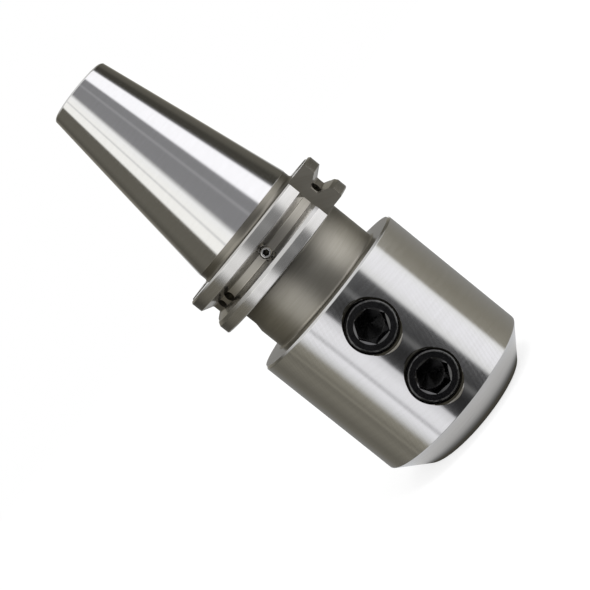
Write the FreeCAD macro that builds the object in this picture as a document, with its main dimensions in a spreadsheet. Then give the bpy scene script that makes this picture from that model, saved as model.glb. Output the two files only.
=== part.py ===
import FreeCAD, Part
import Sketcher
import math
import os

# A side-lock end mill holder: one turned and ground body with a steep taper shank,
# a grooved flange, a neck and a thick clamping head, two clamp screws in the head
# and two small plug screws in the flange groove.
# The holder stands on its nose: the origin is the centre of the nose face, +Z runs
# up along the axis to the taper, and the clamp screws point along -Y.

doc = FreeCAD.newDocument("EndMillHolder")

# A sketch calls its own horizontal axis -1 and its vertical one -2.
AXIS_NAMES = {"across": -1, "up": -2}
Y_WAY, Z_WAY = FreeCAD.Vector(0, 1, 0), FreeCAD.Vector(0, 0, 1)

# A cut that takes less than this, in cubic mm, has missed; circles closer than this are one.
SMALLEST_CUT = 0.01
SAME_PLACE = 1e-4

SIZES = [
    # steep taper shank
    ("gauge_height", 100.0, "nose face to the gauge plane"),
    ("gauge_diameter", 44.45, "taper diameter at the gauge plane"),
    ("taper_length", 68.4, "gauge plane to the small end"),
    ("taper_fall", 7.0, "the taper loses this much diameter"),
    ("taper_run", 24.0, "over this much length"),
    ("small_end_chamfer", 0.5, "chamfer round the small end"),
    ("collar_diameter", 44.0, "turned collar between taper and flange"),
    ("collar_corner", 1.2, "sloped corner from the collar to the flange"),
    # flange
    ("flange_gap", 3.2, "gauge plane to the rear face of the flange"),
    ("flange_thickness", 15.9, "rear face to front face"),
    ("flange_diameter", 63.55, "over the two rims"),
    ("rim_chamfer", 0.4, "chamfer round the outside of each rim"),
    ("groove_offset", 11.1, "gauge plane to the middle of the V-groove"),
    ("groove_mouth", 7.07, "width of the V-groove at the rims"),
    ("groove_floor_diameter", 56.25, "bottom of the V-groove"),
    ("groove_angle", 60.0, "angle between the two flanks"),
    ("slot_width", 16.1, "each drive slot"),
    ("slot_floor_plus", 25.0, "axis to the floor of the slot on +X"),
    ("slot_floor_minus", 22.8, "axis to the floor of the slot on -X"),
    ("slot_runout", 0.4, "the cutter's centre stops this far past the flange"),
    ("notch_side", 18.5, "axis to the notch's face that looks along +X"),
    ("notch_floor", 17.0, "axis to the notch's face that looks along -Y"),
    # neck and head
    ("neck_diameter", 47.5, "between the flange and the head"),
    ("neck_corner", 0.8, "sloped corners at both ends of the neck"),
    ("head_diameter", 65.0, "clamping head"),
    ("head_length", 64.0, "nose face to the head's rear shoulder"),
    ("head_rear_chamfer", 0.7, "chamfer round the shoulder"),
    ("nose_chamfer", 10.0, "large chamfer at the nose"),
    ("nose_edge_radius", 2.5, "rounding between nose chamfer and nose face"),
    # bores on the axis
    ("tool_bore_diameter", 25.0, "takes the end mill's shank"),
    ("tool_bore_depth", 60.0, "from the nose face"),
    ("tool_bore_chamfer", 1.0, "lead-in at the nose"),
    ("coolant_bore_diameter", 10.0, "joins the tool bore and the drawbar hole"),
    ("pilot_diameter", 17.0, "drawbar pilot bore"),
    ("pilot_depth", 8.2, "from the small end"),
    ("pilot_chamfer", 0.6, "lead-in at the small end"),
    ("drawbar_drill_diameter", 14.0, "tapping drill of the drawbar thread"),
    ("drawbar_drill_depth", 42.5, "from the small end"),
    ("drill_point_angle", 118.0, "point angle of every drilled hole"),
    # clamp screws
    ("screw_diameter", 18.0, "over the thread"),
    ("screw_length", 18.5, "top to tip"),
    ("screw_recess", 1.2, "screw top below the crest of the head at rest"),
    ("screw_clearance", 0.05, "between screw and tapped hole, on the radius"),
    ("first_screw_height", 24.0, "nose face to the first screw"),
    ("screw_spacing", 25.0, "from screw to screw"),
    ("countersink_diameter", 20.4, "at the crest of the head"),
    ("screw_top_bevel", 1.6, "bevel round the socket end"),
    ("screw_tip_chamfer", 1.5, "chamfer round the clamping end"),
    ("socket_width", 10.0, "hexagon across flats"),
    ("socket_depth", 9.0, "from the screw's top"),
    ("socket_lead_in", 0.55, "depth of the conical lead-in of the hexagon"),
    ("lower_socket_turn", -9.0, "where the hexagon of the lower screw stopped"),
    ("upper_socket_turn", -4.5, "the same for the upper screw"),
    # small holes in the V-groove, counted from +X towards -Y
    ("plug_diameter", 4.0, "plug screw over the thread"),
    ("plug_length", 5.0, "top to end"),
    ("plug_recess", 0.35, "plug top below the groove floor"),
    ("plug_clearance", 0.05, "between plug and its hole, on the radius"),
    ("plug_hole_depth", 8.0, "full diameter, below the groove floor"),
    ("plug_angle", 95.7, "the two plug screws face each other"),
    ("plug_bevel", 0.35, "bevel round both ends of a plug"),
    ("plug_socket_width", 2.0, "hexagon across flats"),
    ("plug_socket_depth", 2.2, "from the plug's top"),
    ("balance_diameter", 3.5, "drillings that balance the holder"),
    ("balance_depth", 6.0, "full diameter, below the groove floor"),
    ("balance_angle_one", 32.4, "first balance drilling"),
    ("balance_angle_two", 137.8, "second"),
    ("balance_angle_three", 149.4, "third"),
    ("cutter_overrun", 1.0, "how far a cut starts outside the metal"),
]

sizes = doc.addObject("Spreadsheet::Sheet", "Sizes")
sizes.Label = "driving sizes"
for row, (alias, value, meaning) in enumerate(SIZES, start=1):
    sizes.set(f"A{row}", meaning)
    sizes.set(f"B{row}", str(value))
    sizes.setAlias(f"B{row}", alias)
doc.recompute()

# Radii and heights that several pieces share, each worked out from the driving sizes.
LAYOUT = [
    ("axis_line", "0"),
    ("nose_face", "0"),
    ("gauge_line", "Sizes.gauge_height"),
    # the taper and its small end
    ("taper_top", "Sizes.gauge_height + Sizes.taper_length"),
    ("gauge_radius", "Sizes.gauge_diameter / 2"),
    ("taper_slope", "Sizes.taper_fall / Sizes.taper_run / 2"),
    ("small_end_radius", "gauge_radius - Sizes.taper_length * taper_slope"),
    ("chamfer_start", "taper_top - Sizes.small_end_chamfer"),
    ("chamfer_start_radius", "small_end_radius + Sizes.small_end_chamfer * taper_slope"),
    ("small_face_radius", "small_end_radius - Sizes.small_end_chamfer"),
    ("collar_radius", "Sizes.collar_diameter / 2"),
    ("collar_foot_radius", "collar_radius + Sizes.collar_corner"),
    # the flange
    ("flange_rear", "Sizes.gauge_height - Sizes.flange_gap"),
    ("flange_front", "flange_rear - Sizes.flange_thickness"),
    ("collar_foot", "flange_rear + Sizes.collar_corner"),
    ("slot_mouth", "flange_rear + Sizes.cutter_overrun"),
    ("slot_centre", "flange_front - Sizes.slot_runout"),
    ("rim_radius", "Sizes.flange_diameter / 2"),
    ("rim_face_radius", "rim_radius - Sizes.rim_chamfer"),
    ("rear_rim_edge", "flange_rear - Sizes.rim_chamfer"),
    ("front_rim_edge", "flange_front + Sizes.rim_chamfer"),
    ("groove_middle", "Sizes.gauge_height - Sizes.groove_offset"),
    ("floor_radius", "Sizes.groove_floor_diameter / 2"),
    ("flank_width", "(rim_radius - floor_radius) * tan(Sizes.groove_angle / 2)"),
    ("rear_mouth", "groove_middle + Sizes.groove_mouth / 2"),
    ("front_mouth", "groove_middle - Sizes.groove_mouth / 2"),
    ("rear_floor_edge", "rear_mouth - flank_width"),
    ("front_floor_edge", "front_mouth + flank_width"),
    ("groove_reach", "rim_radius + Sizes.cutter_overrun"),
    ("notch_side_face", "Sizes.notch_side"),
    ("notch_floor_face", "-Sizes.notch_floor"),
    ("notch_outside", "-groove_reach"),
    # the neck and the head
    ("neck_radius", "Sizes.neck_diameter / 2"),
    ("neck_end_radius", "neck_radius + Sizes.neck_corner"),
    ("neck_low_end", "Sizes.head_length + Sizes.neck_corner"),
    ("neck_high_end", "flange_front - Sizes.neck_corner"),
    ("head_radius", "Sizes.head_diameter / 2"),
    ("shoulder", "Sizes.head_length"),
    ("shoulder_face_radius", "head_radius - Sizes.head_rear_chamfer"),
    ("shoulder_edge", "shoulder - Sizes.head_rear_chamfer"),
    ("nose_chamfer_top", "Sizes.nose_chamfer"),
    ("nose_face_radius", "head_radius - Sizes.nose_chamfer"),
    # the bores on the axis, with drill points at their ends
    ("point_slope", "1 / tan(Sizes.drill_point_angle / 2)"),
    ("tool_radius", "Sizes.tool_bore_diameter / 2"),
    ("tool_mouth_radius", "tool_radius + Sizes.tool_bore_chamfer"),
    ("tool_mouth_top", "Sizes.tool_bore_chamfer"),
    ("tool_floor", "Sizes.tool_bore_depth"),
    ("coolant_radius", "Sizes.coolant_bore_diameter / 2"),
    ("drill_radius", "Sizes.drawbar_drill_diameter / 2"),
    ("drill_end", "taper_top - Sizes.drawbar_drill_depth"),
    ("drill_cone_end", "drill_end - (drill_radius - coolant_radius) * point_slope"),
    ("pilot_radius", "Sizes.pilot_diameter / 2"),
    ("pilot_floor", "taper_top - Sizes.pilot_depth"),
    ("thread_mouth", "pilot_floor - (pilot_radius - drill_radius) * point_slope"),
    ("pilot_mouth", "taper_top - Sizes.pilot_chamfer"),
    ("pilot_mouth_radius", "pilot_radius + Sizes.pilot_chamfer"),
    # a tapped hole for a clamp screw, which opens along -Y
    ("screw_hole_radius", "Sizes.screw_diameter / 2 + Sizes.screw_clearance"),
    ("countersink_radius", "Sizes.countersink_diameter / 2"),
    ("countersink_start", "countersink_radius - screw_hole_radius - head_radius"),
    ("countersink_outside", "-head_radius - Sizes.cutter_overrun"),
    ("countersink_reach", "countersink_radius + Sizes.cutter_overrun"),
    # a clamp screw in its own frame: the top is at zero and the tip below it
    ("screw_top", "0"),
    ("screw_radius", "Sizes.screw_diameter / 2"),
    ("screw_top_radius", "screw_radius - Sizes.screw_top_bevel"),
    ("screw_bevel_end", "-Sizes.screw_top_bevel"),
    ("screw_tip", "-Sizes.screw_length"),
    ("screw_tip_radius", "screw_radius - Sizes.screw_tip_chamfer"),
    ("screw_tip_start", "screw_tip + Sizes.screw_tip_chamfer"),
    ("socket_radius", "Sizes.socket_width / 2"),
    ("socket_floor", "-Sizes.socket_depth"),
    ("socket_point", "socket_floor - socket_radius * point_slope"),
    ("socket_mouth_radius", "socket_radius / cos(30)"),
    ("socket_lead_end", "-Sizes.socket_lead_in"),
    # a plug screw in its own frame, in the same way
    ("plug_top", "0"),
    ("plug_radius", "Sizes.plug_diameter / 2"),
    ("plug_top_radius", "plug_radius - Sizes.plug_bevel"),
    ("plug_bevel_end", "-Sizes.plug_bevel"),
    ("plug_end", "-Sizes.plug_length"),
    ("plug_end_start", "plug_end + Sizes.plug_bevel"),
    ("plug_socket_radius", "Sizes.plug_socket_width / 2"),
    ("plug_socket_floor", "-Sizes.plug_socket_depth"),
    # the radial holes in the groove floor, measured out from the axis
    ("plug_hole_radius", "plug_radius + Sizes.plug_clearance"),
    ("plug_hole_floor", "floor_radius - Sizes.plug_hole_depth"),
    ("plug_hole_point", "plug_hole_floor - plug_hole_radius * point_slope"),
    ("balance_radius", "Sizes.balance_diameter / 2"),
    ("balance_floor", "floor_radius - Sizes.balance_depth"),
    ("balance_point", "balance_floor - balance_radius * point_slope"),
]

layout = doc.addObject("Spreadsheet::Sheet", "Layout")
layout.Label = "worked out radii and heights"
for row, (alias, formula) in enumerate(LAYOUT, start=1):
    layout.set(f"B{row}", "=" + formula)
    layout.setAlias(f"B{row}", alias)
doc.recompute()


def origin_part(body, role):
    return next(item for item in body.Origin.OriginFeatures if item.Role == role)


def new_sketch(body, name, role):
    sketch = body.newObject("Sketcher::SketchObject", name)
    sketch.AttachmentSupport = [(origin_part(body, role), "")]
    sketch.MapMode = "FlatFace"
    return sketch


def bind(sketch, constraint, formula):
    sketch.setExpression(f"Constraints[{sketch.addConstraint(constraint)}]", formula)


def outline(sketch, corners):
    """Draws a closed outline through corners that are pairs of names in the layout sheet."""
    spots = [FreeCAD.Vector(layout.get(across), layout.get(along), 0) for across, along in corners]
    count = len(corners)
    for i in range(count):
        sketch.addGeometry(Part.LineSegment(spots[i], spots[(i + 1) % count]), False)
    for i in range(count):
        sketch.addConstraint(Sketcher.Constraint("Coincident", i, 2, (i + 1) % count, 1))
    for i, pair in enumerate(corners):
        for kind, axis, name in zip(("DistanceX", "DistanceY"), ("up", "across"), pair):
            if layout.get(name) == 0:
                sketch.addConstraint(Sketcher.Constraint("PointOnObject", i, 1, AXIS_NAMES[axis]))
            else:
                value = layout.get(name)
                bind(sketch, Sketcher.Constraint(kind, -1, 1, i, 1, value), "Layout." + name)


def check_cut(feature, before):
    """Stops if a cut missed the metal."""
    doc.recompute()
    if feature.Shape.Volume > before - SMALLEST_CUT:
        raise RuntimeError(f"{feature.Name} cuts nothing")


def turn_solid(body, name, sketch):
    feature = body.newObject("PartDesign::Revolution", name)
    feature.Profile = sketch
    feature.ReferenceAxis = (sketch, ["V_Axis"])
    feature.Angle = 360
    doc.recompute()


def turn_away(body, name, sketch, axis):
    """Cuts a round hollow: the sketch turned about one of its own axes."""
    before = body.Shape.Volume
    feature = body.newObject("PartDesign::Groove", name)
    feature.Profile = sketch
    feature.ReferenceAxis = (sketch, [axis])
    feature.Angle = 360
    check_cut(feature, before)
    return feature


def cut_pocket(body, name, sketch, depth, outward=False):
    before = body.Shape.Volume
    feature = body.newObject("PartDesign::Pocket", name)
    feature.Profile = sketch
    feature.setExpression("Length", depth)
    feature.Reversed = outward
    check_cut(feature, before)


def round_rings(body, name, rings, radius):
    """Fillets full circles round the axis, each named by its radius and its height."""
    base = body.Tip
    edges = []
    for number, edge in enumerate(base.Shape.Edges, start=1):
        if not isinstance(edge.Curve, Part.Circle):
            continue
        place = (edge.Curve.Radius, edge.Curve.Center.z)
        for ring in rings:
            if all(abs(a - layout.get(b)) < SAME_PLACE for a, b in zip(place, ring)):
                edges.append(f"Edge{number}")
    if len(edges) != len(rings):
        raise RuntimeError(f"{name} finds {len(edges)} edges for {len(rings)} corners")
    feature = body.newObject("PartDesign::Fillet", name)
    feature.Base = (base, edges)
    feature.setExpression("Radius", radius)
    doc.recompute()


def make_holder():
    body = doc.addObject("PartDesign::Body", "Holder")
    body.Label = "holder_body"

    # Half of the holder's outside, from the nose face up to the small end.
    section = new_sketch(body, "OutsideSection", "XZ_Plane")
    outline(section, [
        ("axis_line", "nose_face"),
        ("nose_face_radius", "nose_face"),
        ("head_radius", "nose_chamfer_top"),
        ("head_radius", "shoulder_edge"),
        ("shoulder_face_radius", "shoulder"),
        ("neck_end_radius", "shoulder"),
        ("neck_radius", "neck_low_end"),
        ("neck_radius", "neck_high_end"),
        ("neck_end_radius", "flange_front"),
        ("rim_face_radius", "flange_front"),
        ("rim_radius", "front_rim_edge"),
        ("rim_radius", "front_mouth"),
        ("floor_radius", "front_floor_edge"),
        ("floor_radius", "rear_floor_edge"),
        ("rim_radius", "rear_mouth"),
        ("rim_radius", "rear_rim_edge"),
        ("rim_face_radius", "flange_rear"),
        ("collar_foot_radius", "flange_rear"),
        ("collar_radius", "collar_foot"),
        ("collar_radius", "gauge_line"),
        ("gauge_radius", "gauge_line"),
        ("chamfer_start_radius", "chamfer_start"),
        ("small_face_radius", "taper_top"),
        ("axis_line", "taper_top"),
    ])
    turn_solid(body, "TurnedOutside", section)
    round_rings(body, "NoseEdge", [("nose_face_radius", "nose_face")], "Sizes.nose_edge_radius")

    # Half of the hollow on the axis: tool bore, coolant bore, drawbar thread and pilot bore.
    hollow = new_sketch(body, "HollowSection", "XZ_Plane")
    outline(hollow, [
        ("axis_line", "nose_face"),
        ("tool_mouth_radius", "nose_face"),
        ("tool_radius", "tool_mouth_top"),
        ("tool_radius", "tool_floor"),
        ("coolant_radius", "tool_floor"),
        ("coolant_radius", "drill_cone_end"),
        ("drill_radius", "drill_end"),
        ("drill_radius", "thread_mouth"),
        ("pilot_radius", "pilot_floor"),
        ("pilot_radius", "pilot_mouth"),
        ("pilot_mouth_radius", "taper_top"),
        ("axis_line", "taper_top"),
    ])
    turn_away(body, "AxialBores", hollow, "V_Axis")

    cut_drive_slot(body, "PlusSlot", "slot_floor_plus", 1)
    cut_drive_slot(body, "MinusSlot", "slot_floor_minus", -1)
    cut_orientation_notch(body)
    cut_screw_holes(body)
    cut_plug_holes(body)
    for which in ("one", "two", "three"):
        drill_groove_hole(body, "BalanceHole_" + which, "balance_angle_" + which, "balance")
    return body


def cut_drive_slot(body, name, floor, side):
    """A slot through the flange, milled along the axis by a cutter that stops at the neck."""
    sketch = new_sketch(body, name + "Outline", "YZ_Plane")
    sketch.setExpression("AttachmentOffset.Base.z", f"{side} * Sizes.{floor}")
    half = sizes.get("slot_width") / 2
    top = layout.get("slot_mouth")
    low = layout.get("slot_centre")
    top_left, top_right = FreeCAD.Vector(-half, top, 0), FreeCAD.Vector(half, top, 0)
    low_left, low_right = FreeCAD.Vector(-half, low, 0), FreeCAD.Vector(half, low, 0)
    wall, end, far_wall, mouth = sketch.addGeometry([
        Part.LineSegment(top_right, low_right),
        Part.Arc(low_left, FreeCAD.Vector(0, low - half, 0), low_right),
        Part.LineSegment(low_left, top_left),
        Part.LineSegment(top_left, top_right),
    ], False)
    sketch.addConstraint([
        Sketcher.Constraint("Tangent", wall, 2, end, 2),
        Sketcher.Constraint("Tangent", far_wall, 1, end, 1),
        Sketcher.Constraint("Coincident", far_wall, 2, mouth, 1),
        Sketcher.Constraint("Coincident", mouth, 2, wall, 1),
        Sketcher.Constraint("Vertical", wall),
        Sketcher.Constraint("Vertical", far_wall),
        Sketcher.Constraint("Horizontal", mouth),
        Sketcher.Constraint("PointOnObject", end, 3, AXIS_NAMES["up"]),
    ])
    bind(sketch, Sketcher.Constraint("DistanceX", mouth, 1, mouth, 2, 2 * half), "Sizes.slot_width")
    bind(sketch, Sketcher.Constraint("DistanceY", -1, 1, end, 3, low), "Layout.slot_centre")
    bind(sketch, Sketcher.Constraint("DistanceY", -1, 1, mouth, 1, top), "Layout.slot_mouth")
    cut_pocket(body, name, sketch, f"Layout.groove_reach - Sizes.{floor}", outward=side > 0)


def cut_orientation_notch(body):
    """A square corner cut out of both rims, beside the slot on +X."""
    sketch = new_sketch(body, "NotchOutline", "XY_Plane")
    sketch.setExpression("AttachmentOffset.Base.z", "Layout.slot_mouth")
    outline(sketch, [
        ("notch_side_face", "notch_outside"),
        ("groove_reach", "notch_outside"),
        ("groove_reach", "notch_floor_face"),
        ("notch_side_face", "notch_floor_face"),
    ])
    cut_pocket(body, "OrientationNotch", sketch, "Sizes.flange_thickness + 2 * Sizes.cutter_overrun")


def cut_screw_holes(body):
    """Two countersunk tapped holes from the head's outside into the tool bore."""
    section = new_sketch(body, "ScrewHoleSection", "YZ_Plane")
    section.setExpression("AttachmentOffset.Base.y", "Sizes.first_screw_height")
    outline(section, [
        ("axis_line", "axis_line"),
        ("countersink_outside", "axis_line"),
        ("countersink_outside", "countersink_reach"),
        ("countersink_start", "screw_hole_radius"),
        ("axis_line", "screw_hole_radius"),
    ])
    hole = turn_away(body, "ScrewHole", section, "H_Axis")
    row = body.newObject("PartDesign::LinearPattern", "ScrewHoles")
    row.Originals = [hole]
    row.Direction = (origin_part(body, "Z_Axis"), [""])
    row.setExpression("Length", "Sizes.screw_spacing")
    row.Occurrences = 2
    body.Tip = row
    check_cut(row, hole.Shape.Volume)


def drill_groove_hole(body, name, angle, kind):
    """A radial blind hole in the floor of the V-groove, with a drill point."""
    section = new_sketch(body, name + "Section", "XZ_Plane")
    section.AttachmentOffset = FreeCAD.Placement(FreeCAD.Vector(), FreeCAD.Rotation(Y_WAY, 1))
    section.setExpression("AttachmentOffset.Rotation.Angle", f"-Sizes.{angle}")
    section.setExpression("AttachmentOffset.Base.y", "Layout.groove_middle")
    outline(section, [
        (kind + "_point", "axis_line"),
        ("groove_reach", "axis_line"),
        ("groove_reach", kind + "_radius"),
        (kind + "_floor", kind + "_radius"),
    ])
    return turn_away(body, name, section, "H_Axis")


def cut_plug_holes(body):
    hole = drill_groove_hole(body, "PlugHole", "plug_angle", "plug_hole")
    pair = body.newObject("PartDesign::PolarPattern", "PlugHoles")
    pair.Originals = [hole]
    pair.Axis = (origin_part(body, "Z_Axis"), [""])
    pair.Angle = 360
    pair.Occurrences = 2
    body.Tip = pair
    check_cut(pair, hole.Shape.Volume)


def hexagon(sketch, inner_radius):
    """A regular hexagon round the origin, sized by the circle that touches its flats."""
    reach = layout.get(inner_radius) / math.cos(math.radians(30))
    corners = [FreeCAD.Vector(reach * math.cos(math.radians(turn)),
                              reach * math.sin(math.radians(turn)), 0)
               for turn in range(0, 360, 60)]
    for i in range(6):
        sketch.addGeometry(Part.LineSegment(corners[i], corners[(i + 1) % 6]), False)
    circle = sketch.addGeometry(Part.Circle(FreeCAD.Vector(), Z_WAY, reach), True)
    sketch.addConstraint(Sketcher.Constraint("Coincident", circle, 3, -1, 1))
    for i in range(6):
        sketch.addConstraint(Sketcher.Constraint("Coincident", i, 2, (i + 1) % 6, 1))
        sketch.addConstraint(Sketcher.Constraint("PointOnObject", i, 1, circle))
        if i:
            sketch.addConstraint(Sketcher.Constraint("Equal", 0, i))
    sketch.addConstraint(Sketcher.Constraint("PointOnObject", 0, 1, AXIS_NAMES["across"]))
    bind(sketch, Sketcher.Constraint("Radius", circle, reach), f"Layout.{inner_radius} / cos(30)")


def make_set_screw(name, label, section_corners, kind, turn, place):
    """A socket set screw whose own axis is Z, with its top face at zero and its tip below."""
    body = doc.addObject("PartDesign::Body", name)
    body.Label = label
    section = new_sketch(body, name + "Section", "XZ_Plane")
    outline(section, section_corners)
    turn_solid(body, name + "Turned", section)
    socket = new_sketch(body, name + "Hexagon", "XY_Plane")
    socket.setExpression("AttachmentOffset.Rotation.Angle", turn)
    hexagon(socket, kind + "_radius")
    cut_pocket(body, name + "Socket", socket, f"-Layout.{kind}_floor")
    body.setExpression("Placement", place)
    return body


def make_clamp_screw(which, height, turn):
    """Stands in its tapped hole, with its top just under the crest of the head."""
    return make_set_screw("ClampScrew_" + which, which + "_clamp_screw", [
        ("axis_line", "screw_tip"),
        ("screw_tip_radius", "screw_tip"),
        ("screw_radius", "screw_tip_start"),
        ("screw_radius", "screw_bevel_end"),
        ("screw_top_radius", "screw_top"),
        ("socket_mouth_radius", "screw_top"),
        ("socket_radius", "socket_lead_end"),
        ("socket_radius", "socket_floor"),
        ("axis_line", "socket_point"),
    ], "socket", f"Sizes.{turn}",
        f"placement(vector(0; Sizes.screw_recess - Layout.head_radius; {height}); "
        "rotation(vector(1; 0; 0); 90))")


def make_plug_screw(which, turn):
    """Closes a radial hole in the floor of the V-groove."""
    across = "(Layout.floor_radius - Sizes.plug_recess)"
    return make_set_screw("PlugScrew_" + which, which + "_plug_screw", [
        ("axis_line", "plug_end"),
        ("plug_top_radius", "plug_end"),
        ("plug_radius", "plug_end_start"),
        ("plug_radius", "plug_bevel_end"),
        ("plug_top_radius", "plug_top"),
        ("axis_line", "plug_top"),
    ], "plug_socket", "0",
        f"placement(vector({across} * cos({turn}); -{across} * sin({turn}); Layout.groove_middle); "
        f"rotation(vector(0; 0; 1); 90 - {turn}) * rotation(vector(1; 0; 0); 90))")


pieces = [
    make_holder(),
    make_clamp_screw("lower", "Sizes.first_screw_height", "lower_socket_turn"),
    make_clamp_screw("upper", "Sizes.first_screw_height + Sizes.screw_spacing", "upper_socket_turn"),
    make_plug_screw("front", "Sizes.plug_angle"),
    make_plug_screw("rear", "(Sizes.plug_angle + 180)"),
]
doc.recompute()

for item in doc.Objects:
    if "Invalid" in item.State or "Error" in item.State:
        raise RuntimeError(f"{item.Name} did not recompute: {item.State}")
for piece in pieces:
    if piece.Shape.isNull() or not piece.Shape.isValid() or len(piece.Shape.Solids) != 1:
        raise RuntimeError(f"{piece.Label} has no sound solid")

os.makedirs("parts", exist_ok=True)
for piece in pieces:
    box = piece.Shape.BoundBox
    piece.Shape.exportStep(os.path.join("parts", piece.Label + ".step"))
    print(f"{piece.Label}: {piece.Shape.Volume:.1f} cubic mm, "
          f"x {box.XMin:.2f} to {box.XMax:.2f}, y {box.YMin:.2f} to {box.YMax:.2f}, "
          f"z {box.ZMin:.2f} to {box.ZMax:.2f}")
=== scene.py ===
# %% [markdown]
# # A side-lock end mill holder
#
# The real holder is turned, milled and ground from one bar of steel. A steep taper at
# the top sits in the machine's spindle, a flange with a V-groove lets the tool changer
# grip it, and a thick head holds the end mill with two set screws. This lesson dresses
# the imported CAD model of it: every piece is rebuilt finely enough to carry clean
# reflections, and gets a finish of its own.

# %% Load the frame
import math
from functools import partial

import bmesh
import bpy
from mathutils import Matrix, Vector


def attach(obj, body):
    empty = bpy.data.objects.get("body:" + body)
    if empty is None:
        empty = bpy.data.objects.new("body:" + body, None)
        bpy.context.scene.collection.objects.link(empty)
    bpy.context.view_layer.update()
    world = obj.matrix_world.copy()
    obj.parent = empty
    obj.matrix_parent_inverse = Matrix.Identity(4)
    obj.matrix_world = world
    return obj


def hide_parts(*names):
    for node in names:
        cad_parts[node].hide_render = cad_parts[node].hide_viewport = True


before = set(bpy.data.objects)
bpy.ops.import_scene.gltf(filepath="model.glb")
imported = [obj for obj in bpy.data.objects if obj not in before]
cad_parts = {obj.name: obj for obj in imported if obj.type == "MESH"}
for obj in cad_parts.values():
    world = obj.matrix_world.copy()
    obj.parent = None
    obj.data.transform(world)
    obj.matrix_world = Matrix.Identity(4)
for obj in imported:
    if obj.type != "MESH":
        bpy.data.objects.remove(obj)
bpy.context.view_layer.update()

scene = bpy.context.scene

# %% [markdown]
# ## Working in millimetres
#
# Drawings of tool holders are in millimetres and Blender works in metres. Each shape
# below is modelled in millimetres, because its numbers then read like the drawing, and
# is scaled once when it becomes an object.

# %% Scale and a few shared numbers
MM = 0.001
ROUND_STEPS = 360   # faces round the holder: fine enough for a mirror finish
SMALL_STEPS = 72    # faces round a hole or a screw
OVERRUN = 1.0       # how far a cutter reaches past the metal


def turn_matrix(degrees, axis):
    return Matrix.Rotation(math.radians(degrees), 4, axis)


# %% [markdown]
# ## Turning on a lathe
#
# A lathe makes a shape from one profile, and Blender's spin operator does the same.
# The profile is a chain of corners, each with a radius, a height and a rounding. The
# bevel operator rounds a corner of a bare wire, which gives true arcs without working
# out their points. A long straight run also gets a spare point near each end, so that
# the smooth shading of a rounded corner cannot bleed far along the surface beside it.

# %% Profiles and turned solids
HOLD_SHADE = 0.12   # mm from a rounding to the spare point
SHORTEST_RUN = 1.2  # runs longer than this get spare points
WIDE_CORNER = 0.4   # corners wider than this are rounded in more segments


def corner_reach(before, here, after, rounding):
    """How far from its corner an arc of this radius starts."""
    one, two = (before - here).normalized(), (after - here).normalized()
    half = one.angle(two) / 2
    return rounding / math.tan(half)


def profile_wire(corners, closed):
    """A chain of edges in the XZ plane; each corner is (radius, height, rounding)."""
    bm = bmesh.new()
    spots = [Vector((c[0], 0, c[1])) for c in corners]
    count = len(spots)
    reach = []
    for i, corner in enumerate(corners):
        inner = closed or 0 < i < count - 1
        if corner[2] and inner:
            reach.append(corner_reach(spots[i - 1], spots[i], spots[(i + 1) % count], corner[2]))
        else:
            reach.append(0.0)
    chain, to_round = [], []
    for i in range(count if closed else count - 1):
        here, there = spots[i], spots[(i + 1) % count]
        run = there - here
        vert = bm.verts.new(here)
        chain.append(vert)
        if reach[i]:
            to_round.append((vert, reach[i]))
        ends = (reach[i] + HOLD_SHADE, reach[(i + 1) % count] + HOLD_SHADE)
        if run.length > max(SHORTEST_RUN, 2 * sum(ends)):
            way = run.normalized()
            chain += [bm.verts.new(here + way * ends[0]), bm.verts.new(there - way * ends[1])]
    if not closed:
        chain.append(bm.verts.new(spots[-1]))
    for one, two in zip(chain, chain[1:] + chain[:1] if closed else chain[1:]):
        bm.edges.new((one, two))
    for vert, offset in to_round:
        bmesh.ops.bevel(bm, geom=[vert], offset=offset, segments=4 if offset > WIDE_CORNER else 2,
                        profile=0.5, affect="VERTICES", material=-1)
    return bm


def clean(bm, gap=1e-5):
    bmesh.ops.remove_doubles(bm, verts=bm.verts, dist=gap)
    bmesh.ops.recalc_face_normals(bm, faces=bm.faces)
    return bm


def turned(corners, steps=ROUND_STEPS, closed=False):
    """A solid turned round the Z axis. An open profile starts and ends on the axis."""
    bm = profile_wire(corners, closed)
    bmesh.ops.spin(bm, geom=bm.verts[:] + bm.edges[:], cent=(0, 0, 0), axis=(0, 0, 1),
                   dvec=(0, 0, 0), angle=math.tau, steps=steps, use_merge=True)
    return clean(bm)


# %% [markdown]
# ## Threads
#
# A thread is one tooth carried round the axis while it climbs by one pitch in each
# turn. Spin can climb as it turns, so a wire the height of one pitch sweeps the whole
# thread, and where one turn ends the next begins. Two flat cuts then trim the rod.

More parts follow.
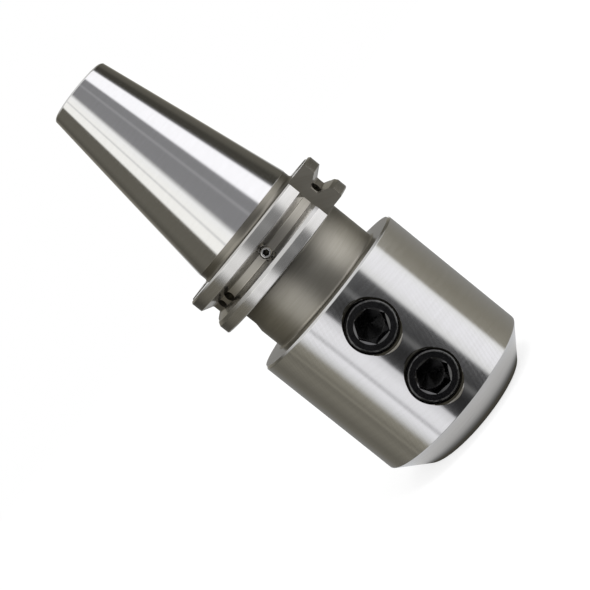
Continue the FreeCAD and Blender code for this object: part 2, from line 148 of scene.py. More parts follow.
# %% A threaded rod
def threaded_rod(crest, root, pitch, low, high, steps=SMALL_STEPS):
    """Straight ahead, along +X, the middle of the crest lies at whole pitches."""
    flank = (crest - root) * math.tan(math.radians(30))
    crest_flat = pitch / 8
    root_flat = pitch - 2 * flank - crest_flat
    start = (math.floor(low / pitch) - 1) * pitch - (root_flat + flank + crest_flat / 2)
    bm = bmesh.new()
    chain = [bm.verts.new((radius, 0, start + height)) for radius, height in (
        (root, 0), (root, root_flat), (crest, root_flat + flank),
        (crest, root_flat + flank + crest_flat), (root, pitch))]
    for one, two in zip(chain, chain[1:]):
        bm.edges.new((one, two))
    turns = math.ceil((high - start) / pitch) + 1
    bmesh.ops.spin(bm, geom=bm.verts[:] + bm.edges[:], cent=(0, 0, 0), axis=(0, 0, 1),
                   dvec=(0, 0, pitch / steps), angle=turns * math.tau, steps=turns * steps)
    bmesh.ops.remove_doubles(bm, verts=bm.verts, dist=1e-4)
    for height, way in ((low, -1), (high, 1)):
        bmesh.ops.bisect_plane(bm, geom=bm.verts[:] + bm.edges[:] + bm.faces[:],
                               plane_co=(0, 0, height), plane_no=(0, 0, way), clear_outer=True)
        rim = [e for e in bm.edges if e.is_boundary
               and all(abs(v.co.z - height) < 1e-4 for v in e.verts)]
        bmesh.ops.contextual_create(bm, geom=rim)
    return clean(bm)


# %% [markdown]
# ## Cutting
#
# On the real part a milling cutter or a drill takes metal away. Here a Boolean
# modifier does, with a solid in the shape of what the cutter sweeps. The result is
# made a plain mesh at once, and the cutter is thrown away. Faces that a cutter leaves
# keep the cutter's material number, so the milled places can be found again later.

# %% Objects from meshes, and Boolean cuts
def new_object(bm, name):
    mesh = bpy.data.meshes.new(name)
    bm.to_mesh(mesh)
    bm.free()
    piece = bpy.data.objects.new(name, mesh)
    scene.collection.objects.link(piece)
    return piece


def combine(piece, other_bm, operation="DIFFERENCE", finish=0):
    """Cuts piece with a solid, or keeps what both share. finish numbers the new faces."""
    for face in other_bm.faces:
        face.material_index = finish
    other = new_object(other_bm, "cutter")
    while len(other.data.materials) <= finish:
        other.data.materials.append(None)
    while len(piece.data.materials) <= finish:
        piece.data.materials.append(None)
    step = piece.modifiers.new("cut", "BOOLEAN")
    step.operation, step.solver, step.object = operation, "EXACT", other
    graph = bpy.context.evaluated_depsgraph_get()
    result = bpy.data.meshes.new_from_object(piece.evaluated_get(graph))
    piece.modifiers.clear()
    old, piece.data = piece.data, result
    bpy.data.meshes.remove(old)
    bpy.data.objects.remove(other)
    return piece


# %% [markdown]
# ## The holder's outside and bores
#
# The whole body is one closed profile: up the outside from the nose to the small end
# of the taper, and back down through the pilot bore, the drawbar hole, the coolant
# bore and the tool bore. Edges are broken by a tenth of a millimetre, as a real
# turner does, and the nose and the neck get larger roundings.

# %% Sizes of the holder, in millimetres
TAPER_FALL = 7 / 24 / 2              # radius lost for each mm of height
GAUGE_Z, GAUGE_R = 100.0, 22.225     # where the taper is measured
TOP_Z = 168.4
HEAD_R, NOSE_CHAMFER, SHOULDER_Z = 32.5, 10.0, 64.0
SCREW_LOW, SCREW_HIGH = 24.0, 49.0   # heights of the two clamp screws
NECK_R = 23.75
FLANGE_LOW, FLANGE_HIGH, RIM_R = 80.9, 96.8, 31.775
GROOVE_Z, GROOVE_MOUTH, GROOVE_R = 88.9, 7.07, 28.125
COLLAR_R = 22.0
TOOL_R, TOOL_DEPTH, COOLANT_R = 12.5, 60.0, 5.0
PILOT_R, PILOT_Z, TAP_R, TAP_LOW = 8.5, 160.2, 7.0, 125.9
DRILL_SLOPE = 1 / math.tan(math.radians(59))
EDGE = 0.12                          # rounding of a plain broken edge
SHOULDER_BREAK, FRONT_BREAK, REAR_BREAK = 0.7, 0.4, 0.6   # chamfers of head and flange
TOOL_BREAK, PILOT_BREAK, TOP_BREAK = 1.0, 0.6, 0.5        # chamfers at the two ends
MOUTH_BREAK = 0.8                    # the wider broken edge at the groove's lower mouth
SIDE_COS = 0.866                     # of 30 degrees, the slope of the groove's sides


def taper_radius(height):
    return GAUGE_R - (height - GAUGE_Z) * TAPER_FALL


print("radius at the small end:", round(taper_radius(TOP_Z), 3), "mm")

# %% The profile, as radius, height and rounding of each corner
groove_side = (RIM_R - GROOVE_R) * math.tan(math.radians(30))
mouth_low, mouth_high = GROOVE_Z - GROOVE_MOUTH / 2, GROOVE_Z + GROOVE_MOUTH / 2
screw_heights = (SCREW_LOW, (SCREW_LOW + SCREW_HIGH) / 2, SCREW_HIGH)   # extra rows there
MID_TAPER = 130                      # and one on the taper
outside = [
    (TOOL_R + TOOL_BREAK, 0, EDGE),
    (HEAD_R - NOSE_CHAMFER, 0, 2.5),
    (HEAD_R, NOSE_CHAMFER, 0.15),
    *((HEAD_R, height, 0) for height in screw_heights),
    (HEAD_R, SHOULDER_Z - SHOULDER_BREAK, 0.08),
    (HEAD_R - SHOULDER_BREAK, SHOULDER_Z, 0),
    (NECK_R, SHOULDER_Z, 1.0),
    (NECK_R, FLANGE_LOW, 1.0),
    (RIM_R - FRONT_BREAK, FLANGE_LOW, 0.08),
    (RIM_R, FLANGE_LOW + FRONT_BREAK, 0.08),
    (RIM_R, mouth_low - MOUTH_BREAK, 0.05),
    (RIM_R - MOUTH_BREAK * SIDE_COS, mouth_low + MOUTH_BREAK / 2, 0.05),
    (GROOVE_R, mouth_low + groove_side, 0.4),
    (GROOVE_R, mouth_high - groove_side, 0.4),
    (RIM_R, mouth_high, EDGE),
    (RIM_R, FLANGE_HIGH - REAR_BREAK, 0.08),
    (RIM_R - REAR_BREAK, FLANGE_HIGH, 0),
    (COLLAR_R, FLANGE_HIGH, 1.2),
    (COLLAR_R, GAUGE_Z, 0),
    (GAUGE_R, GAUGE_Z, 0.06),
    (taper_radius(MID_TAPER), MID_TAPER, 0),
    (taper_radius(TOP_Z - TOP_BREAK), TOP_Z - TOP_BREAK, 0.1),
    (taper_radius(TOP_Z) - TOP_BREAK, TOP_Z, 0.1),
]
hollow = [
    (PILOT_R + PILOT_BREAK, TOP_Z, 0.1),
    (PILOT_R, TOP_Z - PILOT_BREAK, 0.1),
    (PILOT_R, PILOT_Z, 0.2),
    (TAP_R, PILOT_Z - (PILOT_R - TAP_R) * DRILL_SLOPE, 0),
    (TAP_R, TAP_LOW, 0),
    (COOLANT_R, TAP_LOW - (TAP_R - COOLANT_R) * DRILL_SLOPE, 0.1),
    (COOLANT_R, TOOL_DEPTH, 0.1),
    (TOOL_R, TOOL_DEPTH, 0.3),
    *((TOOL_R, height, 0) for height in reversed(screw_heights)),
    (TOOL_R, TOOL_BREAK, 0.1),
]
holder = new_object(turned(outside + hollow, closed=True), "holder")
print("turned holder:", len(holder.data.polygons), "faces")

# %% [markdown]
# ## Slots, notch and holes
#
# Two drive slots are milled up through the flange with a cutter as wide as the slot,
# so each ends in a half circle under the flange. A square notch beside one of them
# shows the spindle which way round the tool sits. The groove's floor has two plug
# holes and three small drillings that balance the holder.

# %% Sizes of the cuts
MILLED, TAPPED, SUNK = 1, 2, 9                # which finish a cutter leaves
SLOT_R, SLOT_Z, SLOT_RISE = 8.05, 80.5, 25    # half width, middle of the round end, height
SLOT_FLOORS = ((25.0, 1), (22.8, -1))         # distance from the axis, and side along X
NOTCH_LOW, NOTCH_HIGH = (18.5, -34, 79.9), (34, -17, 98)
PLUG_WAYS = {"front": 95.7, "rear": 275.7}    # degrees from +X towards the front
PLUG_HOLE_R, PLUG_HOLE_DEPTH = 2.05, 8.0
BALANCE_WAYS, BALANCE_R, BALANCE_DEPTH = (32.4, 137.8, 149.4), 1.75, 6.0
HOLE_LIFT = 5                                 # a drill starts this far above the floor
print("drive slots:", 2 * SLOT_R, "mm wide")


# %% Solids that the cutters sweep
def slot_cutter(floor, side):
    """A round-ended prism from the slot's floor outwards along X."""
    bm = bmesh.new()
    bmesh.ops.create_circle(bm, cap_ends=True, segments=SMALL_STEPS, radius=SLOT_R,
                            matrix=turn_matrix(90, "Y"))
    upper = [v for v in bm.verts if v.co.z > 1e-6]
    bmesh.ops.translate(bm, verts=upper, vec=(0, 0, SLOT_RISE))
    outer = bmesh.ops.extrude_face_region(bm, geom=bm.faces[:])["geom"]
    outer = [v for v in outer if isinstance(v, bmesh.types.BMVert)]
    bmesh.ops.translate(bm, verts=outer, vec=(side * (HEAD_R + OVERRUN - floor), 0, 0))
    bmesh.ops.translate(bm, verts=bm.verts, vec=(side * floor, 0, SLOT_Z))
    return clean(bm)


def block(low, high):
    """A box between two opposite corners."""
    bm = bmesh.new()
    size = [b - a for a, b in zip(low, high)]
    middle = [(a + b) / 2 for a, b in zip(low, high)]
    bmesh.ops.create_cube(bm, size=1, matrix=Matrix.LocRotScale(middle, None, size))
    return bm


def radial_hole(radius, depth, angle):
    """A drilled hole in the groove's floor, with a drill point."""
    bm = turned([(0, -depth - radius * DRILL_SLOPE, 0), (radius, -depth, 0),
                 (radius, HOLE_LIFT, 0), (0, HOLE_LIFT, 0)], steps=SMALL_STEPS)
    bmesh.ops.translate(bm, verts=bm.verts, vec=(0, 0, GROOVE_R))
    bmesh.ops.transform(bm, verts=bm.verts, matrix=Matrix.Translation((0, 0, GROOVE_Z))
                        @ turn_matrix(-angle, "Z") @ turn_matrix(90, "Y"))
    return bm


# %% Mill the flange and drill the groove
for floor_x, side in SLOT_FLOORS:
    combine(holder, slot_cutter(floor_x, side), finish=MILLED)
combine(holder, block(NOTCH_LOW, NOTCH_HIGH), finish=MILLED)
for way in PLUG_WAYS.values():
    combine(holder, radial_hole(PLUG_HOLE_R, PLUG_HOLE_DEPTH, way), finish=MILLED)
for way in BALANCE_WAYS:
    combine(holder, radial_hole(BALANCE_R, BALANCE_DEPTH, way), finish=MILLED)
print("milled holder:", len(holder.data.polygons), "faces")

# %% [markdown]
# ## The tapped cross holes
#
# Each clamp screw runs in a tapped hole that a countersink opens to the outside. The
# cutter is a threaded rod, so the hole gets a true thread. Screw and cutter are made
# by one function in one frame, with its Z axis up out of the hole and zero at the
# screw's top, and both are turned alike. So the two threads stay in step, at rest and
# at both limits of the screws' travel, which lie whole turns apart.

# %% Sizes of the tapped holes
HOLE_CREST, HOLE_ROOT, PITCH = 9.05, 8.0, 2.0
TAP_FROM, TAP_TO = -26.0, 4.0   # the tap's reach, from the screw's top
SINK_R = 9.7         # radius of the countersink's cone, just below the head's surface
SINK_RIM_R = 10.3    # radius of its flatter broken edge at the crest of the head
SINK_RISE = 0.3      # how far the cone ends below the head's crest, and its edge above
SINK_STEPS = 128
SCREW_RECESS = 1.2
RELIEF = 1.3         # the thread starts this far below the screw's top
CLAMP_WAYS = {"lower": (SCREW_LOW, -9.0), "upper": (SCREW_HIGH, -4.5)}   # height and turn
DRAWBAR_CREST, DRAWBAR_ROOT, DRAWBAR_PITCH = 8.05, 6.5, 2.0
DRAWBAR_LOW, DRAWBAR_HIGH = TAP_LOW + 2, 159.9
print("clamp thread:", round(HOLE_CREST - HOLE_ROOT, 2), "mm deep")


# %% Tap the head and the drawbar hole
def clamp_place(name):
    """From the frame of a clamp screw to its place in the head."""
    height, turn = CLAMP_WAYS[name]
    return (Matrix.Translation((0, SCREW_RECESS - HEAD_R, height)) @ turn_matrix(90, "X")
            @ turn_matrix(turn, "Z"))


for name in CLAMP_WAYS:
    tap = threaded_rod(HOLE_CREST, HOLE_ROOT, PITCH, TAP_FROM, TAP_TO)
    cone_top = SCREW_RECESS - SINK_RISE
    sink = turned([(0, -RELIEF, 0), (HOLE_CREST, -RELIEF, 0),
                   (HOLE_CREST, cone_top + HOLE_CREST - SINK_R, 0), (SINK_R, cone_top, 0),
                   (2 * SINK_RIM_R - SINK_R, SCREW_RECESS + SINK_RISE, 0),
                   (0, SCREW_RECESS + SINK_RISE, 0)], steps=SINK_STEPS)
    for cutter, finish in ((tap, TAPPED), (sink, SUNK)):
        bmesh.ops.transform(cutter, verts=cutter.verts, matrix=clamp_place(name))
        combine(holder, cutter, finish=finish)

drawbar_tap = threaded_rod(DRAWBAR_CREST, DRAWBAR_ROOT, DRAWBAR_PITCH, DRAWBAR_LOW, DRAWBAR_HIGH)
combine(holder, drawbar_tap, finish=TAPPED)
print("tapped holder:", len(holder.data.polygons), "faces")

# %% [markdown]
# ## Socket set screws
#
# A set screw is a threaded rod between two chamfers with a hexagon in its top. It is
# built as a turner would think of it: what a chamfered blank and a threaded rod share,
# less a hexagonal prism, a shallow lead-in cone and the point that the drill left. The
# drill here is as wide as the hexagon between its flats, so the two only just touch.
# That is a weak spot: merging the slivers there, further down, can take a wall of the
# socket with it, and not the same one in every run. A narrower drill would be safer.

# %% One function for every set screw
DRILL_RISE = 0.3   # how far the drill's cut reaches above the socket's floor


def set_screw(name, crest, root, pitch, length, bevel, tip, flats, depth, lead_in, steps):
    """A set screw with its top at zero. bevel and tip are the chamfers at its two ends,
    flats and depth the size of the hexagon, and lead_in the depth of the cone round it."""
    skin = crest + 0.01   # the blank stays clear of the thread's crest
    blank = turned([(0, -length, 0), (crest - tip, -length, EDGE), (skin, tip - length, 0),
                    (skin, -bevel, 0), (crest - bevel, 0, bevel * 0.7), (0, 0, 0)],
                   steps=2 * steps)
    piece = new_object(blank, name)
    combine(piece, threaded_rod(crest, root, pitch, -length - pitch, pitch, steps), "INTERSECT")
    corner = flats / 2 / math.cos(math.radians(30))
    prism = bmesh.new()
    bmesh.ops.create_cone(prism, cap_ends=True, segments=6, radius1=corner, radius2=corner,
                          depth=depth + 2 * OVERRUN,
                          matrix=Matrix.Translation((0, 0, OVERRUN - depth / 2)))
    bmesh.ops.rotate(prism, verts=prism.verts, matrix=turn_matrix(30, "Z").to_3x3())
    combine(piece, prism)
    point = flats / 2
    rim = point + lead_in
    combine(piece, turned([(0, -rim * DRILL_SLOPE, 0), (rim + lead_in / DRILL_SLOPE, lead_in, 0),
                           (0, lead_in, 0)], steps=2 * steps))
    combine(piece, turned([(0, -depth - point * DRILL_SLOPE, 0), (point, -depth, 0),
                           (point, DRILL_RISE - depth, 0), (0, DRILL_RISE - depth, 0)],
                          steps=steps))
    return piece


def place(piece, matrix):
    """Puts a piece's place into its mesh, in metres."""
    piece.data.transform(Matrix.Scale(MM, 4) @ matrix)


# %% The clamp screws
CLAMP_SIZES = dict(crest=8.97, root=7.85, pitch=PITCH, length=18.5, bevel=0.9, tip=1.5,
                   flats=10.2, depth=9.0, lead_in=0.75, steps=SMALL_STEPS)
clamp_screws = {}
for name in CLAMP_WAYS:
    screw = set_screw(name + "_screw", **CLAMP_SIZES)
    place(screw, clamp_place(name))
    clamp_screws[name] = screw
print("clamp screws:", sorted(clamp_screws))

# %% The plugs in the groove's floor
PLUG_SIZES = dict(crest=1.98, root=1.55, pitch=0.7, length=5.0, bevel=0.35, tip=0.35,
                  flats=2.0, depth=2.2, lead_in=0.06, steps=48)
PLUG_RECESS = 0.35                              # a plug's top below the groove's floor
# The plug's socket gets the nearly black steel, painted shade in the recess.
SOCKET_R, SOCKET_TOP, SOCKET_FLOOR = 1.16, -0.05, -3   # faces in here get the dark finish
plugs = {}
for name, way in PLUG_WAYS.items():
    plug = set_screw(name + "_plug", **PLUG_SIZES)
    for face in plug.data.polygons:
        in_socket = (face.center.xy.length < SOCKET_R
                     and SOCKET_FLOOR < face.center.z < SOCKET_TOP)
        face.material_index = int(in_socket)
    place(plug, Matrix.Translation((0, 0, GROOVE_Z)) @ turn_matrix(-way, "Z")
          @ turn_matrix(90, "Y") @ Matrix.Translation((0, 0, GROOVE_R - PLUG_RECESS)))
    plugs[name] = plug
place(holder, Matrix.Identity(4))
pieces = [holder, *clamp_screws.values(), *plugs.values()]
for piece in pieces:
    print(piece.name, len(piece.data.polygons), "faces",
          [round(v / MM, 2) for v in piece.dimensions])

# %% [markdown]
# ## Smooth and sharp
#
# A machined part is smooth round its curves and crisp at its edges. Every face is
# shaded smooth, and edges that turn by more than a set angle are marked sharp. Hands,
# chips and other tools rub what stands out: the broken edges and the thread crests.
# Those are the narrow faces beside an edge that turns outwards, so each such face gets
# a number for its wear, which the materials read.

# %% Shading, and which faces are worn
SHARP_ANGLE = 24
WEAR_FROM = math.radians(8)
WORN_WIDTH = 0.3 * MM
TINY = 1e-6          # metres; points that a Boolean left closer than this are merged


def mark_wear(mesh):
    """Merges what the cuts left too small, and gives each face a wear of 0 or 1."""
    bm = bmesh.new()
    bm.from_mesh(mesh)
    bmesh.ops.remove_doubles(bm, verts=bm.verts, dist=TINY)
    bmesh.ops.dissolve_degenerate(bm, dist=TINY, edges=bm.edges)
    bm.to_mesh(mesh)
    worn = []
    for face in bm.faces:
        outward = [edge.calc_length() for edge in face.edges if edge.is_manifold
                   and edge.is_convex and edge.calc_face_angle() > WEAR_FROM]
        worn.append(1.0 if outward and face.calc_area() / max(outward) < WORN_WIDTH else 0.0)
    bm.free()
    mesh.attributes.new("wear", "FLOAT", "FACE").data.foreach_set("value", worn)
    return sum(worn)


for piece in pieces:
    mesh = piece.data
    mesh.shade_smooth()
    mesh.set_sharp_from_angle(angle=math.radians(SHARP_ANGLE))
    print(piece.name, "worn faces", mark_wear(mesh), "of", len(mesh.polygons))

# %% [markdown]
# ## What the finishes share
#
# A lathe or a grinding wheel leaves fine rings round the axis. The group below makes
# them once for every material: rings that follow height and radius together, so they
# show on cylinders, cones and flat faces, and a longer, paler streak that breaks them
# up. A ripple that climbs round the axis is what a wheel leaves when it trembles, and
# faint stains lie over all. The group gives a height for a bump and a mask for colour
# and roughness.

# %% Node helpers
def add(tree, kind, **settings):
    node = tree.nodes.new(kind)
    for key, value in settings.items():
        setattr(node, key, value)
    return node


def fill(node, **values):
    for key, value in values.items():
        node.inputs[key.replace("_", " ")].default_value = value


def math_node(tree, operation, one, two=None):
    node = add(tree, "ShaderNodeMath", operation=operation)
    for socket, value in zip(node.inputs, (one, two)):
        if isinstance(value, (int, float)):
            socket.default_value = value
        elif value is not None:
            tree.links.new(value, socket)
    return node.outputs[0]


def mix_node(tree, kind, factor, one, two):
    """Blends two values (FLOAT) or colours (RGBA), each a constant or a socket."""
    node = add(tree, "ShaderNodeMix", data_type=kind)
    for key, value in (("Factor", factor), ("A", one), ("B", two)):
        if isinstance(value, bpy.types.NodeSocket):
            tree.links.new(value, node.inputs[key])
        else:
            node.inputs[key].default_value = value
    return node.outputs["Result"]


# %% The shared group of tool marks
LEAN = 0.9                             # how much radius counts beside height
STREAK_TURN, STREAK_RISE = 3.0, 0.35   # how fine the streaks are, round and along
RIPPLES, RIPPLE_CLIMB = 132, -1580.0   # waves round the axis; their climb, radians per metre
MARK_SHARE, STAIN_SHARE = 0.6, 0.4


def tool_marks_group():
    tree = bpy.data.node_groups.new("tool marks", "ShaderNodeTree")
    tree.interface.new_socket("Vector", in_out="INPUT", socket_type="NodeSocketVector")
    for name, value in (("Rings per mm", 3.0), ("Streak", 0.5), ("Slant", 0.0), ("Ripple", 0.0)):
        socket = tree.interface.new_socket(name, in_out="INPUT", socket_type="NodeSocketFloat")
        socket.default_value = value
    for name in ("Height", "Mask"):
        tree.interface.new_socket(name, in_out="OUTPUT", socket_type="NodeSocketFloat")
    start, end = add(tree, "NodeGroupInput"), add(tree, "NodeGroupOutput")
    parts = add(tree, "ShaderNodeSeparateXYZ")
    tree.links.new(start.outputs["Vector"], parts.inputs[0])
    x, y, z = parts.outputs
    times = partial(math_node, tree, "MULTIPLY")
    plus = partial(math_node, tree, "ADD")
    radius = math_node(tree, "SQRT", plus(times(x, x), times(y, y)))
    angle = math_node(tree, "ARCTAN2", y, x)
    slanted = plus(plus(z, times(radius, LEAN)), times(angle, start.outputs["Slant"]))
    ring_place = times(slanted, times(start.outputs["Rings per mm"], 1 / MM))
    fine = add(tree, "ShaderNodeTexNoise", noise_dimensions="1D")
    fill(fine, Scale=1.0, Detail=3.0, Roughness=0.65)
    tree.links.new(ring_place, fine.inputs["W"])
    streak_place = add(tree, "ShaderNodeCombineXYZ")
    for key, socket in (("X", times(math_node(tree, "SINE", angle), STREAK_TURN)),
                        ("Y", times(math_node(tree, "COSINE", angle), STREAK_TURN)),
                        ("Z", times(ring_place, STREAK_RISE))):
        tree.links.new(socket, streak_place.inputs[key])
    streaks = add(tree, "ShaderNodeTexNoise")
    fill(streaks, Scale=1.0, Detail=2.0, Roughness=0.5)
    tree.links.new(streak_place.outputs[0], streaks.inputs["Vector"])
    height = mix_node(tree, "FLOAT", start.outputs["Streak"], fine.outputs["Fac"],
                      streaks.outputs["Fac"])
    tree.links.new(height, end.inputs["Height"])
    spread = add(tree, "ShaderNodeMapRange")
    fill(spread, From_Min=0.35, From_Max=0.65)
    tree.links.new(height, spread.inputs["Value"])
    wave = math_node(tree, "SINE", plus(times(angle, RIPPLES), times(z, RIPPLE_CLIMB)))
    calm, strong = add(tree, "ShaderNodeTexNoise"), add(tree, "ShaderNodeMapRange")
    fill(calm, Scale=30.0, Detail=1.0)
    fill(strong, From_Min=0.35, From_Max=0.6)
    tree.links.new(start.outputs["Vector"], calm.inputs["Vector"])
    tree.links.new(calm.outputs["Fac"], strong.inputs["Value"])
    wave = times(wave, strong.outputs["Result"])
    rippled = plus(spread.outputs["Result"], times(wave, start.outputs["Ripple"]))
    stain = add(tree, "ShaderNodeTexNoise")
    fill(stain, Scale=45.0, Detail=3.0, Roughness=0.55)
    tree.links.new(start.outputs["Vector"], stain.inputs["Vector"])
    tree.links.new(plus(times(rippled, MARK_SHARE), times(stain.outputs["Fac"], STAIN_SHARE)),
                   end.inputs["Mask"])
    return tree


TOOL_MARKS = tool_marks_group()
print("group:", TOOL_MARKS.name, len(TOOL_MARKS.nodes), "nodes")

# %% [markdown]
# ## Worn edges
#
# The second shared group turns the wear number into a mask. Noise breaks it up, since
# no edge is rubbed evenly along its length.

# %% The shared group of worn edges
def worn_edges_group():
    tree = bpy.data.node_groups.new("worn edges", "ShaderNodeTree")
    tree.interface.new_socket("Vector", in_out="INPUT", socket_type="NodeSocketVector")
    tree.interface.new_socket("Mask", in_out="OUTPUT", socket_type="NodeSocketFloat")
    start, end = add(tree, "NodeGroupInput"), add(tree, "NodeGroupOutput")
    edge = add(tree, "ShaderNodeAttribute", attribute_name="wear")
    patches = add(tree, "ShaderNodeTexNoise")
    fill(patches, Scale=700.0, Detail=3.0, Roughness=0.6)
    tree.links.new(start.outputs["Vector"], patches.inputs["Vector"])
    broken = add(tree, "ShaderNodeMapRange")
    fill(broken, From_Min=0.35, From_Max=0.62)
    tree.links.new(patches.outputs["Fac"], broken.inputs["Value"])
    tree.links.new(math_node(tree, "MULTIPLY", edge.outputs["Fac"], broken.outputs["Result"]),
                   end.inputs["Mask"])
    return tree


WORN_EDGES = worn_edges_group()
print("group:", WORN_EDGES.name, len(WORN_EDGES.nodes), "nodes")

# %% [markdown]
# ## Steel finishes
#
# Bare steel is a metal with almost no colour of its own, so it looks like what it
# reflects. What tells a ground taper from a turned neck is how sharp the reflection
# is and how deep the tool marks are, and an oil film makes the steel a little warm. The
# neck also gets painted shade, darkest in its corner with the flange.

# %% Wear over a finish
RUBBED, RUBBED_ROUGH = (0.72, 0.71, 0.69, 1), 0.2   # where an edge is polished by wear


def rub(tree, where, shader, color, rough, most=0.6):
    """Sends colour and roughness to the shader, with the worn edges over them."""
    edges = add(tree, "ShaderNodeGroup", node_tree=WORN_EDGES)
    tree.links.new(where.outputs["Object"], edges.inputs["Vector"])
    mask = math_node(tree, "MULTIPLY", edges.outputs["Mask"], most)
    tree.links.new(mix_node(tree, "RGBA", mask, color, RUBBED), shader.inputs["Base Color"])
    tree.links.new(mix_node(tree, "FLOAT", mask, rough, RUBBED_ROUGH),
                   shader.inputs["Roughness"])
    return mask


# %% Painted shade in a corner
# Painted shade: the colour it darkens to, its reach in mm from the corner, and its strongest
# share.
CORNER_SHADE, CORNER_SHADE_REACH, CORNER_SHADE_MOST = (0.02, 0.018, 0.012, 1), 7.5, 0.52   # colour, mm and thickest


def paint_corner_shade(tree, where, color, corner):
    """Paints shade: darkens a colour toward the corner at this height in millimetres."""
    parts, shade_fade = add(tree, "ShaderNodeSeparateXYZ"), add(tree, "ShaderNodeMapRange")
    tree.links.new(where.outputs["Object"], parts.inputs[0])
    above = math_node(tree, "SUBTRACT", parts.outputs["Z"], corner * MM)
    away = math_node(tree, "ABSOLUTE", above)
    tree.links.new(away, shade_fade.inputs["Value"])
    fill(shade_fade, From_Max=CORNER_SHADE_REACH * MM, To_Min=CORNER_SHADE_MOST, To_Max=0.0)
    return mix_node(tree, "RGBA", shade_fade.outputs["Result"], color, CORNER_SHADE)


# %% What every finish starts and ends with
def start_material(name):
    """The material, its node tree, a principled shader and the place on the piece."""
    material = bpy.data.materials.new(name)
    material.use_nodes = True
    tree = material.node_tree
    tree.nodes.clear()
    out, shader = add(tree, "ShaderNodeOutputMaterial"), add(tree, "ShaderNodeBsdfPrincipled")
    tree.links.new(shader.outputs[0], out.inputs["Surface"])
    return material, tree, shader, add(tree, "ShaderNodeTexCoord")


def emboss(tree, shader, height, strength, depth):
    """Bumps the shader by a height, depth millimetres deep."""
    bump = add(tree, "ShaderNodeBump")
    fill(bump, Strength=strength, Distance=depth * MM)
    tree.links.new(height, bump.inputs["Height"])
    tree.links.new(bump.outputs["Normal"], shader.inputs["Normal"])


# %% A steel maker
def steel(name, color, oiled, rough, rings, streak, depth, slant=0.0, spread=0.06, ripple=0.0,
          corner=None):
    """Steel with tool marks: its clean and oiled colours, a roughness and how far that
    spreads, and the rings per mm, streak, depth in mm, slant and ripple of the marks. A
    corner height in mm adds painted shade, darker towards it."""
    material, tree, shader, where = start_material(name)
    fill(shader, Metallic=1.0)
    marks = add(tree, "ShaderNodeGroup", node_tree=TOOL_MARKS)
    tree.links.new(where.outputs["Object"], marks.inputs["Vector"])
    fill(marks, Streak=streak, Slant=slant, Ripple=ripple)
    marks.inputs["Rings per mm"].default_value = rings
    shade = mix_node(tree, "RGBA", marks.outputs["Mask"], (*oiled, 1), (*color, 1))
    fog = add(tree, "ShaderNodeMapRange")
    fill(fog, To_Min=rough - spread / 2, To_Max=rough + spread / 2)
    tree.links.new(marks.outputs["Mask"], fog.inputs["Value"])
    if corner is not None:
        shade = paint_corner_shade(tree, where, shade, corner)
    rub(tree, where, shader, shade, fog.outputs["Result"])
    emboss(tree, shader, marks.outputs["Height"], strength=1.0, depth=depth)
    return material


# %% The steels
STEEL, OILED = (0.66, 0.66, 0.66), (0.61, 0.608, 0.60)
GROUND_TAPER = steel("ground taper", STEEL, OILED, rough=0.11, rings=4.0, streak=0.5,
                     depth=0.0005, spread=0.04)
GROUND_HEAD = steel("ground head", STEEL, OILED, rough=0.12, rings=3.0, streak=0.6,
                    depth=0.0006, slant=0.004, spread=0.04, ripple=0.35)
TURNED_RIM = steel("turned rim", (0.64, 0.635, 0.63), (0.55, 0.54, 0.52), rough=0.17,
                   rings=4.0, streak=0.4, depth=0.001)
# The neck gets painted shade, darker towards the flange's lower face.
TURNED_NECK = steel("turned neck", (0.39, 0.37, 0.325), (0.3, 0.285, 0.245), rough=0.40,
                    rings=3.5, streak=0.5, depth=0.003, corner=FLANGE_LOW)
GROOVE_STEEL = steel("turned groove", (0.40, 0.38, 0.34), (0.31, 0.295, 0.26), rough=0.34,
                     rings=4.0, streak=0.4, depth=0.002)
CUT_FACE = steel("turned face", (0.42, 0.405, 0.37), (0.34, 0.325, 0.29), rough=0.30,
                 rings=4.0, streak=0.3, depth=0.0004)
MILLED_STEEL = steel("milled steel", (0.39, 0.37, 0.32), (0.31, 0.29, 0.245), rough=0.38,
                     rings=2.0, streak=0.7, depth=0.002)
THREAD_STEEL = steel("thread steel", (0.32, 0.30, 0.26), (0.2, 0.19, 0.16), rough=0.35,
                     rings=2.0, streak=0.5, depth=0.001)
# Nearly black steel: painted shade in the countersinks and the plugs' sockets.
SHADED_SINK_STEEL = steel("countersink painted shade", (0.06, 0.055, 0.042), (0.025, 0.023, 0.018), rough=0.3,
                   rings=2.0, streak=0.5, depth=0.001)
BORE_STEEL = steel("bore steel", (0.6, 0.59, 0.565), (0.52, 0.5, 0.47), rough=0.2,
                   rings=4.0, streak=0.5, depth=0.0008)
print("steels:", sorted(m.name for m in bpy.data.materials))

# %% [markdown]
# ## Black oxide
#
# The screws are blackened and oiled. The film is dark and glassy, and where a key or
# the hole's thread rubs it the steel begins to show.

# %% The black finish
BLACKEST, BLACK_OILED = (0.001, 0.001, 0.0012, 1), (0.004, 0.004, 0.005, 1)


def black_oxide():
    material, tree, shader, where = start_material("black oxide")
    fill(shader, IOR=1.8)
    cloud = add(tree, "ShaderNodeTexNoise")
    fill(cloud, Scale=600.0, Detail=4.0, Roughness=0.6)
    tree.links.new(where.outputs["Object"], cloud.inputs["Vector"])
    shade = mix_node(tree, "RGBA", cloud.outputs["Fac"], BLACKEST, BLACK_OILED)
    fog = add(tree, "ShaderNodeMapRange")
    fill(fog, To_Min=0.1, To_Max=0.22)
    tree.links.new(cloud.outputs["Fac"], fog.inputs["Value"])
    bare = rub(tree, where, shader, shade, fog.outputs["Result"], most=0.1)
    tree.links.new(bare, shader.inputs["Metallic"])
    emboss(tree, shader, cloud.outputs["Fac"], strength=0.6, depth=0.01)
    return material


BLACK = black_oxide()
print("screw finish:", BLACK.name)

# %% [markdown]
# ## Which finish goes where
#
# The holder is one mesh, and each face is finished by where it lies: a face left by a
# cutter by its number, a face near the axis as bore, and the rest by height. A little
# margin keeps the roundings of a bore and of the neck with the surface they belong to.

